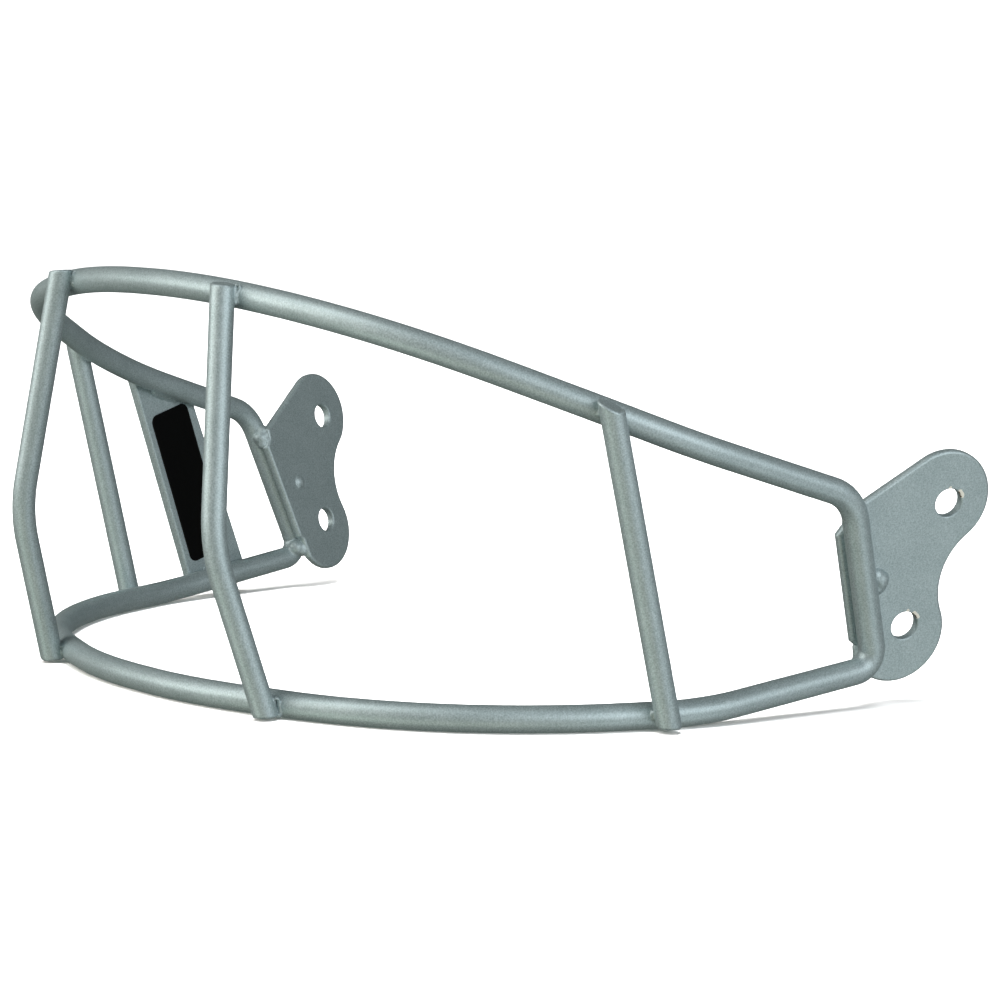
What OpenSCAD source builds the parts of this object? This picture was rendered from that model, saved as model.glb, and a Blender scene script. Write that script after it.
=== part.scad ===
// Softball face guard for a batting helmet, standing on its flat lower bar.
// +X is the wearer's left, -Y is forward and +Z is up. Millimetres.

/* [Wire] */
// Diameter of the loop wire over its coating
loop_d = 5.5; // [4.5:0.1:6.5]
// Diameter of the four upright bars over their coating
bar_d = 5; // [4:0.1:6]
// How far a welded bar is sunk into the loop wire
weld_sink = 0.6; // [0.3:0.1:1]

/* [Lower bar] */
// First bend of the lower bar: distance from the centre line
lower_a_side = 17.4; // [15.5:0.1:20]
// First bend of the lower bar: position front to back
lower_a_front = -62.6; // [-66:0.1:-60]
// First bend of the lower bar: radius
lower_a_radius = 94; // [60:1:100]
// Second bend of the lower bar: distance from the centre line
lower_b_side = 68.3; // [66:0.1:70]
// Second bend of the lower bar: position front to back
lower_b_front = -45.9; // [-48:0.1:-44]
// Second bend of the lower bar: radius
lower_b_radius = 76.5; // [50:0.5:85]
// Third bend of the lower bar: distance from the centre line
lower_c_side = 87.2; // [85:0.1:89]
// Third bend of the lower bar: position front to back
lower_c_front = -14.9; // [-17:0.1:-13]
// Third bend of the lower bar: radius
lower_c_radius = 78; // [40:0.5:110]
// Last bend of the lower bar, beside the label plate: distance from the centre line
lower_d_side = 95.7; // [94:0.1:97]
// Last bend of the lower bar, beside the label plate: position front to back
lower_d_front = 7.2; // [5:0.1:9]
// Last bend of the lower bar, beside the label plate: radius
lower_d_radius = 65; // [30:0.5:90]

/* [Upper bar] */
// First bend of the upper bar: distance from the centre line
upper_a_side = 27.5; // [26.5:0.1:30]
// First bend of the upper bar: position front to back
upper_a_front = -61.5; // [-64:0.1:-59]
// First bend of the upper bar: height above the ground
upper_a_height = 85.2; // [82:0.1:88]
// First bend of the upper bar: radius
upper_a_radius = 134; // [90:1:138]
// Second bend of the upper bar: distance from the centre line
upper_b_side = 70.2; // [68:0.1:72]
// Second bend of the upper bar: position front to back
upper_b_front = -46.8; // [-49:0.1:-45]
// Second bend of the upper bar: height above the ground
upper_b_height = 76.9; // [74:0.1:79]
// Second bend of the upper bar: radius
upper_b_radius = 61.5; // [40:0.5:66]
// Third bend of the upper bar: distance from the centre line
upper_c_side = 91.8; // [90:0.1:94]
// Third bend of the upper bar: position front to back
upper_c_front = -17.1; // [-19:0.1:-15]
// Third bend of the upper bar: height above the ground
upper_c_height = 63.7; // [61:0.1:66]
// Third bend of the upper bar: radius
upper_c_radius = 78; // [50:0.5:90]
// Fourth bend of the upper bar: distance from the centre line
upper_d_side = 98.9; // [97:0.1:100]
// Fourth bend of the upper bar: position front to back
upper_d_front = 0.5; // [-2:0.1:2.5]
// Fourth bend of the upper bar: height above the ground
upper_d_height = 56.7; // [55:0.1:58]
// Fourth bend of the upper bar: radius
upper_d_radius = 98; // [60:1:120]

/* [Side return] */
// Upper corner of the loop: distance from the centre line
top_corner_side = 105.5; // [103:0.1:107]
// Upper corner of the loop: position front to back
top_corner_back = 38.1; // [36:0.1:40]
// Upper corner of the loop: height above the ground
top_corner_height = 44.9; // [42:0.1:47]
// Bend radius of the upper corner, on the wire's centre line
top_corner_radius = 9.9; // [6:0.1:14]
// Lower corner of the loop: distance from the centre line
low_corner_side = 100.7; // [99:0.1:103]
// Lower corner of the loop: position front to back
low_corner_back = 51.2; // [49:0.1:53]
// Lower corner of the loop: height above the ground
low_corner_height = 8.2; // [7:0.1:10]
// Bend radius of the lower corner, on the wire's centre line
low_corner_radius = 4.2; // [3.2:0.1:6]

/* [Upright bars] */
// Where a centre bar crosses the upper bar, measured along the wire from the middle
centre_top_reach = 29.6; // [26:0.1:33]
// Where a centre bar crosses the lower bar, measured along the wire from the middle
centre_foot_reach = 39.6; // [36:0.1:43]
// Kink of a centre bar: distance from the centre line
kink_side = 36.3; // [34:0.1:38.5]
// Kink of a centre bar: position front to back
kink_front = -69.7; // [-73:0.1:-68]
// Kink of a centre bar: height above the ground
kink_height = 34.5; // [30:0.1:39]
// Bend radius of the kink
kink_radius = 34; // [12:1:45]
// Height of a centre bar's cut foot above the ground
centre_foot_rise = 0.6; // [0:0.1:2]
// How far a bar's cut top lies below the top of the upper bar
bar_top_drop = 0.3; // [0:0.1:2]
// Where a side bar crosses the upper bar, measured along the wire ahead of the upper corner
side_top_ahead = 53.9; // [50:0.1:58]
// Where a side bar crosses the lower bar, measured along the wire ahead of the lower corner
side_foot_ahead = 48.7; // [45:0.1:53]
// Height of a side bar's cut foot above the ground
side_foot_rise = 0.9; // [0:0.1:2]

/* [Ear plates] */
// Thickness of an ear plate
plate_t = 2.1; // [2:0.1:3.5]
// How far the side return is sunk into an ear plate
plate_sink = 0.05; // [0.02:0.01:0.3]
// Turn of an ear plate about the side return, out at the back
plate_turn = 19.9; // [16:0.1:25]
// Diameter of the four screw holes
hole_d = 6; // [5:0.1:7]
// Distance between the two screw holes of a plate
hole_pitch = 27.5; // [25:0.1:30]
// Upper hole: distance behind the side return's centre line
upper_hole_back = 22.7; // [20.5:0.1:24]
// Upper hole: distance below the upper corner, along the return
upper_hole_drop = 10; // [8:0.1:12]
// Tilt of the line through the two holes from the side return
hole_line_tilt = 29; // [26:0.5:32]
// Radius of the upper lobe
upper_lobe_r = 10.6; // [9.5:0.1:12]
// Radius of the lower lobe
lower_lobe_r = 10.8; // [9.8:0.1:12.5]
// Radius of the waist between the lobes
waist_r = 14; // [10:0.5:20]
// How far a plate's front edge stands ahead of the return's centre line
tab_front = 3.1; // [2.8:0.1:3.2]
// How far the front edge ends below the plate's top edge
tab_corner = 4; // [2:0.1:6]

/* [Label plate] */
// Width of the label plate at its upper end
label_plate_top_w = 16.8; // [15:0.1:20]
// Width of the label plate at its lower end
label_plate_foot_w = 19; // [16:0.1:22]
// Thickness of the label plate
label_plate_t = 2.5; // [1.5:0.1:3.5]
// How far the plate's front edge stands ahead of the line between its two crossings
label_plate_front = 9.3; // [8:0.1:10.5]
// Where the label plate crosses the upper bar, measured along the wire ahead of the upper corner
label_top_ahead = 22.8; // [20:0.1:26]
// Where the label plate crosses the lower bar, measured along the wire ahead of the lower corner
label_foot_ahead = 20.5; // [17:0.1:24]
// How far the plate runs on past each wire's centre line
label_plate_overrun = 1.5; // [0.5:0.1:2.5]
// Width of the label
label_w = 12.4; // [9:0.1:13.5]
// Thickness of the label
label_t = 0.3; // [0.2:0.05:0.5]
// Corner radius of the label
label_corner_r = 2; // [1:0.1:4]
// Gap between the label and the plate's front edge
label_margin = 1.9; // [0.4:0.1:2.2]
// Height of the label's lower end over the lower bar's centre line, along the plate
label_rise = 6.1; // [5:0.1:9]
// Depth of the label's upper rear corner below the upper bar's centre line, along the plate
label_drop = 2.4; // [2:0.1:8]

/* [Welds] */
// Radius of the weld bead beside a bar
bead_r = 1.4; // [1:0.1:1.9]
// Length of the weld bead beside a bar, between its round ends
bead_l = 2.2; // [1:0.1:2.6]
// Length of the weld bead along an end of the label plate, between its round ends
seam_l = 7; // [4:0.5:9]
// Radius of the round weld at the top of the left ear plate's front edge
left_top_weld_r = 1.7; // [1.5:0.1:1.9]
// Radius of the round weld at the top of the right ear plate's front edge
right_top_weld_r = 2; // [1.8:0.1:2.3]
// Radius of the round weld at the foot of the left ear plate's front edge
left_foot_weld_r = 2; // [1.9:0.1:2.4]
// Radius of the round weld at the foot of the right ear plate's front edge
right_foot_weld_r = 2.2; // [2:0.1:2.6]
// Radius of the round weld behind the side return
spot_r = 2.8; // [2.6:0.1:3.2]
// Height of the ring of weld round the lower corner joint
ring_h = 0.45; // [0.3:0.05:0.6]

/* [Hidden] */

steel = [0.62, 0.67, 0.66];
weld_steel = [0.56, 0.61, 0.60];
black = [0.03, 0.03, 0.03];
round_fn = 48;
bend_fn = 240;
bead_fn = 24;
arc_step = 5;
least_straight = 1;
bend_share = 0.8;
spare = 10;
block = 80;
half_turn = 180;
bore_spare = 1;
bead_span = 5;
label_sink = 0.3;
corner_cut = [1.9, 1.6];
foot_cut = [0.9, -1.2];
foot_cut_rise = 1.75;
upper_lobe_shift = [-0.8, 1];
lower_lobe_shift = [-1.7, -1.4];
bead_out = 0.86;
bead_aside = 0.25;
seam_away = 0.75;
weld_depth = 0.6;
spot_behind = 1.3;
spot_drop = 21.6;
foot_bead_lift = 0.4;
lap = 0.2;
hair = 0.02;

loop_r = loop_d / 2;
bar_r = bar_d / 2;
ground = loop_r;

// Wire routes of the left half: corner points of the bends, from the middle to the lower corner
upper_points = [
    [0, upper_a_front, upper_a_height],
    [upper_a_side, upper_a_front, upper_a_height],
    [upper_b_side, upper_b_front, upper_b_height],
    [upper_c_side, upper_c_front, upper_c_height],
    [upper_d_side, upper_d_front, upper_d_height],
    [top_corner_side, top_corner_back, top_corner_height],
    [low_corner_side, low_corner_back, low_corner_height]];
upper_radii = [0, upper_a_radius, upper_b_radius, upper_c_radius, upper_d_radius, top_corner_radius, 0];
lower_points = [
    [0, lower_a_front, ground],
    [lower_a_side, lower_a_front, ground],
    [lower_b_side, lower_b_front, ground],
    [lower_c_side, lower_c_front, ground],
    [lower_d_side, lower_d_front, ground],
    [low_corner_side, low_corner_back, low_corner_height],
    [top_corner_side, top_corner_back, top_corner_height]];
lower_radii = [0, lower_a_radius, lower_b_radius, lower_c_radius, lower_d_radius, low_corner_radius, 0];

// Directions, bends and places along a route
function unit(v) = v / norm(v);
function turn(points, i) = acos(unit(points[i] - points[i - 1]) * unit(points[i + 1] - points[i]));
function room(points, radii, i) =
    min(norm(points[i] - points[i - 1]) - setback(points, radii, i - 1) - least_straight,
        bend_share * norm(points[i + 1] - points[i]));
function setback(points, radii, i) = i <= 0 || i >= len(points) - 1 ? 0 :
    min(radii[i] * tan(turn(points, i) / 2), room(points, radii, i));
function bend_radius(points, radii, i) = setback(points, radii, i) / tan(turn(points, i) / 2);
function bend_start(points, radii, i) =
    points[i] - unit(points[i] - points[i - 1]) * setback(points, radii, i);
function bend_centre(points, radii, i) =
    let (u = unit(points[i] - points[i - 1]), v = unit(points[i + 1] - points[i]))
    points[i] + unit(v - u) * bend_radius(points, radii, i) / cos(turn(points, i) / 2);
function straight(points, radii, i) =
    norm(points[i] - points[i - 1]) - setback(points, radii, i - 1) - setback(points, radii, i);
function bend_length(points, radii, i) = bend_radius(points, radii, i) * turn(points, i) * PI / 180;

// Point and direction on a route at a distance along the wire: [point, direction]
function on_wire(points, radii, reach, i = 1) =
    let (s = straight(points, radii, i),
         u = unit(points[i] - points[i - 1]))
    reach <= s || i == len(points) - 1
        ? [points[i - 1] + u * (setback(points, radii, i - 1) + reach), u]
        : let (b = bend_length(points, radii, i))
          reach <= s + b ? on_bend(points, radii, i, reach - s)
                         : on_wire(points, radii, reach - s - b, i + 1);
function on_bend(points, radii, i, run) =
    let (r = bend_radius(points, radii, i),
         c = bend_centre(points, radii, i),
         e = unit(bend_start(points, radii, i) - c),
         u = unit(points[i] - points[i - 1]),
         a = run / r * 180 / PI)
    [c + r * (e * cos(a) + u * sin(a)), u * cos(a) - e * sin(a)];

// Frame with its z axis along a direction and its x axis as near as it can be to a second one
function frame(origin, z_dir, x_dir) =
    let (z = unit(z_dir), x = unit(x_dir - z * (x_dir * z)), y = cross(z, x))
    [[x[0], y[0], z[0], origin[0]],
     [x[1], y[1], z[1], origin[1]],
     [x[2], y[2], z[2], origin[2]],
     [0, 0, 0, 1]];
function side_of(v) = abs(unit(v)[2]) < 0.9 ? [0, 0, 1] : [1, 0, 0];

module place(origin, z_dir, x_dir) {
    multmatrix(frame(origin, z_dir, x_dir)) children();
}

module rod(from, to, r) {
    place(from, to - from, side_of(to - from))
        cylinder(r = r, h = norm(to - from), $fn = round_fn);
}

module bend(points, radii, i, r) {
    c = bend_centre(points, radii, i);
    u = unit(points[i] - points[i - 1]);
    e = unit(bend_start(points, radii, i) - c);
    multmatrix([[e[0], u[0], cross(e, u)[0], c[0]],
                [e[1], u[1], cross(e, u)[1], c[1]],
                [e[2], u[2], cross(e, u)[2], c[2]],
                [0, 0, 0, 1]])
        rotate_extrude(angle = turn(points, i), $fn = bend_fn)
            translate([bend_radius(points, radii, i), 0]) circle(r = r, $fn = round_fn);
}

// Pieces of a wire: each is a straight length and the bend that ends it.
// A straight is a hair thinner than a bend and ends just inside it, so the two join cleanly.
module run_of_wire(points, radii, r, first, last) {
    for (i = [first : last]) {
        u = unit(points[i] - points[i - 1]);
        a = points[i - 1] + u * setback(points, radii, i - 1);
        b = points[i] - u * setback(points, radii, i);
        rod(a - u * lap, i < len(points) - 1 ? b + u * lap : b, r - hair);
        if (i < len(points) - 1) bend(points, radii, i, r);
    }
}

// A whole loop wire: one straight crosses the middle, and the rest is in both halves
module loop_wire(points, radii, last) {
    end = points[0] + [straight(points, radii, 1) + lap, 0, 0];
    rod([-end[0], end[1], end[2]], end, loop_r - hair);
    for (side = [0, 1])
        mirror([side, 0, 0]) {
            bend(points, radii, 1, loop_r);
            run_of_wire(points, radii, loop_r, 2, last);
        }
}

// Distance along a wire from the middle to the start of a bend
function reach_of(points, radii, i) = i == 1 ? straight(points, radii, 1) :
    reach_of(points, radii, i - 1) + bend_length(points, radii, i - 1) + straight(points, radii, i);

// Number of the piece at a distance along the wire
function piece_at(points, radii, reach, i = 1) =
    let (whole = straight(points, radii, i) + bend_length(points, radii, i))
    reach <= whole || i >= 5 ? i : piece_at(points, radii, reach - whole, i + 1);

// The pieces of a loop wire near one place, for cutting what lies against them
module wire_near(points, radii, reach, span = spare) {
    run_of_wire(points, radii, loop_r,
        piece_at(points, radii, reach - span), piece_at(points, radii, reach + span));
}

// Half space above a plane, as a block large enough for a bar's end
module beyond(point, normal) {
    place(point, normal, side_of(normal))
        translate([-block / 2, -block / 2, 0]) cube([block, block, block]);
}

// Joint of the two loop wires, where the lower corner's bend ends
return_up = unit(upper_points[5] - upper_points[6]);
corner_joint = upper_points[6] + return_up * setback(lower_points, lower_radii, 5);
upper_route = [for (i = [0 : 6]) i < 6 ? upper_points[i] : corner_joint];

module return_wires() {
    run_of_wire(upper_route, upper_radii, loop_r, 5, 6);
    run_of_wire(lower_points, lower_radii, loop_r, 5, 5);
}

module upper_bar() {
    color(steel) loop_wire(upper_route, upper_radii, 6);
}

module lower_bar() {
    color(steel) loop_wire(lower_points, lower_radii, 5);
}

// Axis point of a bar laid on the outside of a wire, for a bar that comes from another point
bar_offset = loop_r + bar_r - weld_sink;
function outside(wire, from) =
    let (n = unit(cross(wire[1], wire[0] - from)))
    n * [wire[0][0], wire[0][1], 0] > 0 ? n : -n;
function laid_on(wire, from) =
    let (first = wire[0] + outside(wire, from) * bar_offset,
         n = outside([first, wire[1]], from))
    wire[0] + n * bar_offset;

upper_corner_reach = reach_of(upper_route, upper_radii, 5);
lower_corner_reach = reach_of(lower_points, lower_radii, 5);
side_top_reach = upper_corner_reach - side_top_ahead;
side_foot_reach = lower_corner_reach - side_foot_ahead;

kink = [kink_side, kink_front, kink_height];
centre_top_wire = on_wire(upper_route, upper_radii, centre_top_reach);
centre_foot_wire = on_wire(lower_points, lower_radii, centre_foot_reach);
centre_top = laid_on(centre_top_wire, kink);
centre_foot = laid_on(centre_foot_wire, kink);
side_top_wire = on_wire(upper_route, upper_radii, side_top_reach);
side_foot_wire = on_wire(lower_points, lower_radii, side_foot_reach);
side_foot = laid_on(side_foot_wire, side_top_wire[0]);
side_top = laid_on(side_top_wire, side_foot);

// Direction square to a wire, in the plane of the wire and the bar that crosses it
function across(wire, along) = unit(along - wire[1] * (along * wire[1]));
function carried_on(from, to) = to + unit(to - from) * spare;

module trimmed_ends(top, top_reach, foot, foot_reach, rise) {
    top_wire = on_wire(upper_route, upper_radii, top_reach);
    up = across(top_wire, top - foot);
    difference() {
        children();
        beyond(top_wire[0] + up * (loop_r - bar_top_drop), up);
        beyond([foot[0], foot[1], rise], [0, 0, -1]);
        wire_near(upper_route, upper_radii, top_reach);
        wire_near(lower_points, lower_radii, foot_reach);
    }
}

module long_centre_bar() {
    route = [carried_on(kink, centre_top), kink, carried_on(kink, centre_foot)];
    run_of_wire(route, [0, kink_radius, 0], bar_r, 1, 2);
}

module long_side_bar() {
    rod(carried_on(side_foot, side_top), carried_on(side_top, side_foot), bar_r);
}

module centre_bar() {
    trimmed_ends(centre_top, centre_top_reach, centre_foot, centre_foot_reach, centre_foot_rise)
        long_centre_bar();
}

module side_bar() {
    trimmed_ends(side_top, side_top_reach, side_foot, side_foot_reach, side_foot_rise)
        long_side_bar();
}

module left_centre_bar() {
    color(steel) centre_bar();
}

module right_centre_bar() {
    color(steel) mirror([1, 0, 0]) centre_bar();
}

module left_side_bar() {
    color(steel) side_bar();
}

module right_side_bar() {
    color(steel) mirror([1, 0, 0]) side_bar();
}

// Ear plate: its own frame has x to the back, y up along the return and z outwards
plate_sideways = unit([1, 0, 0] - return_up * return_up[0]);
plate_out = plate_sideways * cos(plate_turn) + cross(return_up, plate_sideways) * -sin(plate_turn);
plate_back = cross(return_up, plate_out);
plate_origin = upper_points[5] - plate_out * (loop_r + plate_t - plate_sink);
upper_hole = [upper_hole_back, -upper_hole_drop];
lower_hole = upper_hole - hole_pitch * [sin(hole_line_tilt), cos(hole_line_tilt)];
upper_lobe = upper_hole + upper_lobe_shift;
lower_lobe = lower_hole + lower_lobe_shift;
lobe_gap = norm(upper_lobe - lower_lobe);
waist_side = (pow(lobe_gap, 2) + pow(upper_lobe_r + waist_r, 2) - pow(lower_lobe_r + waist_r, 2))
    / (2 * lobe_gap);
waist_off = sqrt(pow(upper_lobe_r + waist_r, 2) - pow(waist_side, 2));
lobe_line = (lower_lobe - upper_lobe) / lobe_gap;
waist = upper_lobe + lobe_line * waist_side + [-lobe_line[1], lobe_line[0]] * waist_off;

function heading(v) = atan2(v[1], v[0]);
function arc(centre, r, from, to) =
    let (n = max(2, ceil(abs(to - from) / arc_step)))
    [for (i = [0 : n]) let (a = from + (to - from) * i / n) centre + r * [cos(a), sin(a)]];

// The outline runs round the lobes, up the front edge between two cut corners and up behind the return
corner_top = [-0.7, -5];
front_top = [-tab_front, corner_top[1] - tab_corner];
upper_lobe_start = heading(corner_top - upper_lobe) - acos(upper_lobe_r / norm(corner_top - upper_lobe));
upper_lobe_end = heading(waist - upper_lobe);
lower_lobe_start = heading(waist - lower_lobe);
front_foot = [-tab_front, lower_lobe[1] + foot_cut_rise];
lower_lobe_end = acos(min(1, (lower_lobe[0] + tab_front - foot_cut[0]) / lower_lobe_r)) - half_turn;
plate_outline = concat(
    arc(upper_lobe, upper_lobe_r, upper_lobe_start, upper_lobe_end),
    arc(waist, waist_r, upper_lobe_end + half_turn, lower_lobe_start + half_turn),
    arc(lower_lobe, lower_lobe_r, lower_lobe_start, lower_lobe_end),
    [front_foot + foot_cut, front_foot, front_top, front_top + corner_cut, corner_top]);

module plate_blank() {
    place(plate_origin, plate_out, plate_back) linear_extrude(plate_t) polygon(plate_outline);
}

module ear_plate() {
    difference() {
        place(plate_origin, plate_out, plate_back)
            difference() {
                linear_extrude(plate_t) polygon(plate_outline);
                for (hole = [upper_hole, lower_hole])
                    translate([hole[0], hole[1], -bore_spare])
                        cylinder(d = hole_d, h = plate_t + 2 * bore_spare, $fn = round_fn);
            }
        return_wires();
    }
}

module left_ear_plate() {
    color(steel) ear_plate();
}

module right_ear_plate() {
    color(steel) mirror([1, 0, 0]) ear_plate();
}

// Label plate: its frame has x to the back, y up along the plate and z outwards, on the right side
label_top_reach = upper_corner_reach - label_top_ahead;
label_foot_reach = lower_corner_reach - label_foot_ahead;
label_top_wire = on_wire(upper_route, upper_radii, label_top_reach);
label_foot_wire = on_wire(lower_points, lower_radii, label_foot_reach);
label_line = label_top_wire[0] - label_foot_wire[0];
label_out = unit(cross(label_line, -(label_top_wire[1] + label_foot_wire[1])));
label_up = unit(label_line);
label_back = cross(label_up, label_out);
label_origin = label_foot_wire[0] + label_out * (loop_r - label_sink);

// The plate's ends run along the wires behind them
function slope(wire) = (wire[1] * label_up) / (wire[1] * label_back);
function label_plate_top(x) = norm(label_line) + label_plate_overrun + slope(label_top_wire) * x;
function label_plate_foot(x) = slope(label_foot_wire) * x - label_plate_overrun;

module on_label_plate() {
    mirror([1, 0, 0]) place(label_origin, label_out, label_back) children();
}

module label_blank() {
    front = -label_plate_front;
    foot_rear = front + label_plate_foot_w;
    top_rear = front + label_plate_top_w;
    on_label_plate() linear_extrude(label_plate_t)
        polygon([
            [front, label_plate_foot(front)],
            [foot_rear, label_plate_foot(foot_rear)],
            [top_rear, label_plate_top(top_rear)],
            [front, label_plate_top(front)]]);
}

module wires_at_label() {
    wire_near(upper_route, upper_radii, label_top_reach);
    wire_near(lower_points, lower_radii, label_foot_reach);
}

module label_plate() {
    color(steel) difference() {
        label_blank();
        mirror([1, 0, 0]) wires_at_label();
    }
}

module label() {
    low = [label_margin - label_plate_front, label_rise];
    rear = low[0] + label_w;
    high = [rear, norm(label_line) + slope(label_top_wire) * rear - label_drop];
    r = label_corner_r;
    color(black) on_label_plate() translate([0, 0, -label_t])
        linear_extrude(label_t)
            polygon(concat(
                arc([high[0] - r, high[1] - r], r, 90, 0),
                arc([high[0] - r, low[1] + r], r, 0, -90),
                arc([low[0] + r, low[1] + r], r, -90, -180),
                arc([low[0] + r, high[1] - r], r, -180, -270)));
}

// Weld beads fill the corner between two pieces, so each is cut by the pieces it joins
module capsule(centre, along, length, r) {
    a = centre - along * length / 2;
    b = centre + along * length / 2;
    rod(a, b, r - hair);
    translate(a) sphere(r = r, $fn = bead_fn);
    translate(b) sphere(r = r, $fn = bead_fn);
}

// side is 1 for the bead on the bar's outer side and -1 for the inner side
module bar_bead(wire, axis_point, along, side, lift) {
    n = unit(axis_point - wire[0]);
    t = wire[1];
    up = across(wire, along);
    centre = wire[0] + n * loop_r * bead_out + t * side * (bar_r + bead_r * bead_aside);
    capsule(centre + up * lift, up, bead_l, bead_r);
}

module top_bead(reach, axis_point, foot, side) {
    wire = on_wire(upper_route, upper_radii, reach);
    difference() {
        bar_bead(wire, axis_point, axis_point - foot, side, -bar_top_drop / 2);
        children();
        wire_near(upper_route, upper_radii, reach, bead_span);
    }
}

module foot_bead(reach, axis_point, top, side) {
    wire = on_wire(lower_points, lower_radii, reach);
    difference() {
        bar_bead(wire, axis_point, top - axis_point, side, foot_bead_lift);
        children();
        wire_near(lower_points, lower_radii, reach, bead_span);
    }
}

module left_centre_top_weld() {
    color(weld_steel) top_bead(centre_top_reach, centre_top, kink, 1) long_centre_bar();
}

module left_centre_foot_weld() {
    color(weld_steel) foot_bead(centre_foot_reach, centre_foot, kink, 1) long_centre_bar();
}

module right_centre_top_weld() {
    color(weld_steel) mirror([1, 0, 0]) top_bead(centre_top_reach, centre_top, kink, -1) long_centre_bar();
}

module right_centre_foot_weld() {
    color(weld_steel) mirror([1, 0, 0]) foot_bead(centre_foot_reach, centre_foot, kink, -1) long_centre_bar();
}

module left_side_top_weld() {
    color(weld_steel) top_bead(side_top_reach, side_top, side_foot, -1) long_side_bar();
}

module left_side_foot_weld() {
    color(weld_steel) foot_bead(side_foot_reach, side_foot, side_top, -1) long_side_bar();
}

module right_side_top_weld() {
    color(weld_steel) mirror([1, 0, 0]) top_bead(side_top_reach, side_top, side_foot, -1) long_side_bar();
}

module right_side_foot_weld() {
    color(weld_steel) mirror([1, 0, 0]) foot_bead(side_foot_reach, side_foot, side_top, -1) long_side_bar();
}

module corner_ring() {
    difference() {
        place(corner_joint, return_up, plate_back)
            rotate_extrude($fn = round_fn)
                translate([loop_r, 0]) circle(r = ring_h, $fn = bead_fn);
        return_wires();
        plate_blank();
    }
}

module left_corner_weld() {
    color(weld_steel) corner_ring();
}

module right_corner_weld() {
    color(weld_steel) mirror([1, 0, 0]) corner_ring();
}

// Welds of an ear plate: one at each end of its front edge and one behind the return.
// Each place is [behind the return's centre line, above the upper corner, outside the inner face].
module plate_weld(place_on_plate, r) {
    difference() {
        translate(plate_origin + plate_back * place_on_plate[0]
                + return_up * place_on_plate[1] + plate_out * place_on_plate[2])
            sphere(r = r, $fn = bead_fn);
        plate_blank();
        return_wires();
    }
}

// The round weld behind the return lies on the plate's outer face only
module spot_weld() {
    difference() {
        plate_weld(spot_weld_at, spot_r);
        beyond(plate_origin + plate_out * plate_t / 2, -plate_out);
    }
}

left_top_weld_at = [0.5, -5, plate_t * weld_depth];
right_top_weld_at = [-1.9, -6.9, plate_t * weld_depth];
left_foot_weld_at = [-1.6, -37.6, plate_t * weld_depth];
right_foot_weld_at = [-1.8, -37.6, plate_t * weld_depth];
spot_weld_at = [loop_r + spot_behind, -spot_drop, plate_t - weld_depth];

module left_plate_top_weld() {
    color(weld_steel) plate_weld(left_top_weld_at, left_top_weld_r);
}

module left_plate_foot_weld() {
    color(weld_steel) plate_weld(left_foot_weld_at, left_foot_weld_r);
}

module left_plate_spot_weld() {
    color(weld_steel) spot_weld();
}

module right_plate_top_weld() {
    color(weld_steel) mirror([1, 0, 0]) plate_weld(right_top_weld_at, right_top_weld_r);
}

module right_plate_foot_weld() {
    color(weld_steel) mirror([1, 0, 0]) plate_weld(right_foot_weld_at, right_foot_weld_r);
}

module right_plate_spot_weld() {
    color(weld_steel) mirror([1, 0, 0]) spot_weld();
}

// Seams of the label plate, in the corner under the upper bar and over the lower bar
module label_seam(wire, up) {
    difference() {
        mirror([1, 0, 0])
            capsule(wire[0] + label_out * loop_r * bead_out
                    + across(wire, label_line) * up * loop_r * seam_away,
                wire[1], seam_l, bead_r);
        label_blank();
        mirror([1, 0, 0]) wires_at_label();
    }
}

module label_plate_top_weld() {
    color(weld_steel) label_seam(label_top_wire, -1);
}

module label_plate_foot_weld() {
    color(weld_steel) label_seam(label_foot_wire, 1);
}

upper_bar();
lower_bar();
left_centre_bar();
right_centre_bar();
left_side_bar();
right_side_bar();
left_ear_plate();
right_ear_plate();
label_plate();
label();
left_centre_top_weld();
left_centre_foot_weld();
right_centre_top_weld();
right_centre_foot_weld();
left_side_top_weld();
left_side_foot_weld();
right_side_top_weld();
right_side_foot_weld();
left_corner_weld();
right_corner_weld();
left_plate_top_weld();
left_plate_foot_weld();
left_plate_spot_weld();
right_plate_top_weld();
right_plate_foot_weld();
right_plate_spot_weld();
label_plate_top_weld();
label_plate_foot_weld();
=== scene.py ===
import math

import bmesh
import bpy
from mathutils import Matrix, Vector, geometry, noise


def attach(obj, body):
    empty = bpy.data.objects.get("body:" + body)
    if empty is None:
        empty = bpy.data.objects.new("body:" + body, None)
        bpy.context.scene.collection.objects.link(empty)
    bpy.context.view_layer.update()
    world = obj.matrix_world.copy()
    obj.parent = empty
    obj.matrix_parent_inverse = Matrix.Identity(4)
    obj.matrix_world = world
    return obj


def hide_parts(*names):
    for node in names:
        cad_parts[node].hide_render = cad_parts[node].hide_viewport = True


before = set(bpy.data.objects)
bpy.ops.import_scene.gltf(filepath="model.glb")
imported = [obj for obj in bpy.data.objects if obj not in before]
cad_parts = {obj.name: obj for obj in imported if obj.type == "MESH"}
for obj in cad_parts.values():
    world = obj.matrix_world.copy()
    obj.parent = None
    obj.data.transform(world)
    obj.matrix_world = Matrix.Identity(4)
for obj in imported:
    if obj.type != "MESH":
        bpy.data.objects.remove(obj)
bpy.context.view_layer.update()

mm = 0.001
body = "root"
print("frame loaded")

# Camera: it looks at the guard from its left front, a little above the wires
cameraSizes = {
    "azimuth": 50.015,        # degrees round from straight ahead
    "elevation": 6.905,
    "roll": 0.896,
    "aim": (17.46, 19.4, 36.44),
    "distance": 649.15,
    "lens": 106.2,
}


def towards(azimuth, elevation):
    a, e = math.radians(azimuth), math.radians(elevation)
    return Vector((math.sin(a) * math.cos(e), -math.cos(a) * math.cos(e), math.sin(e)))


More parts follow.
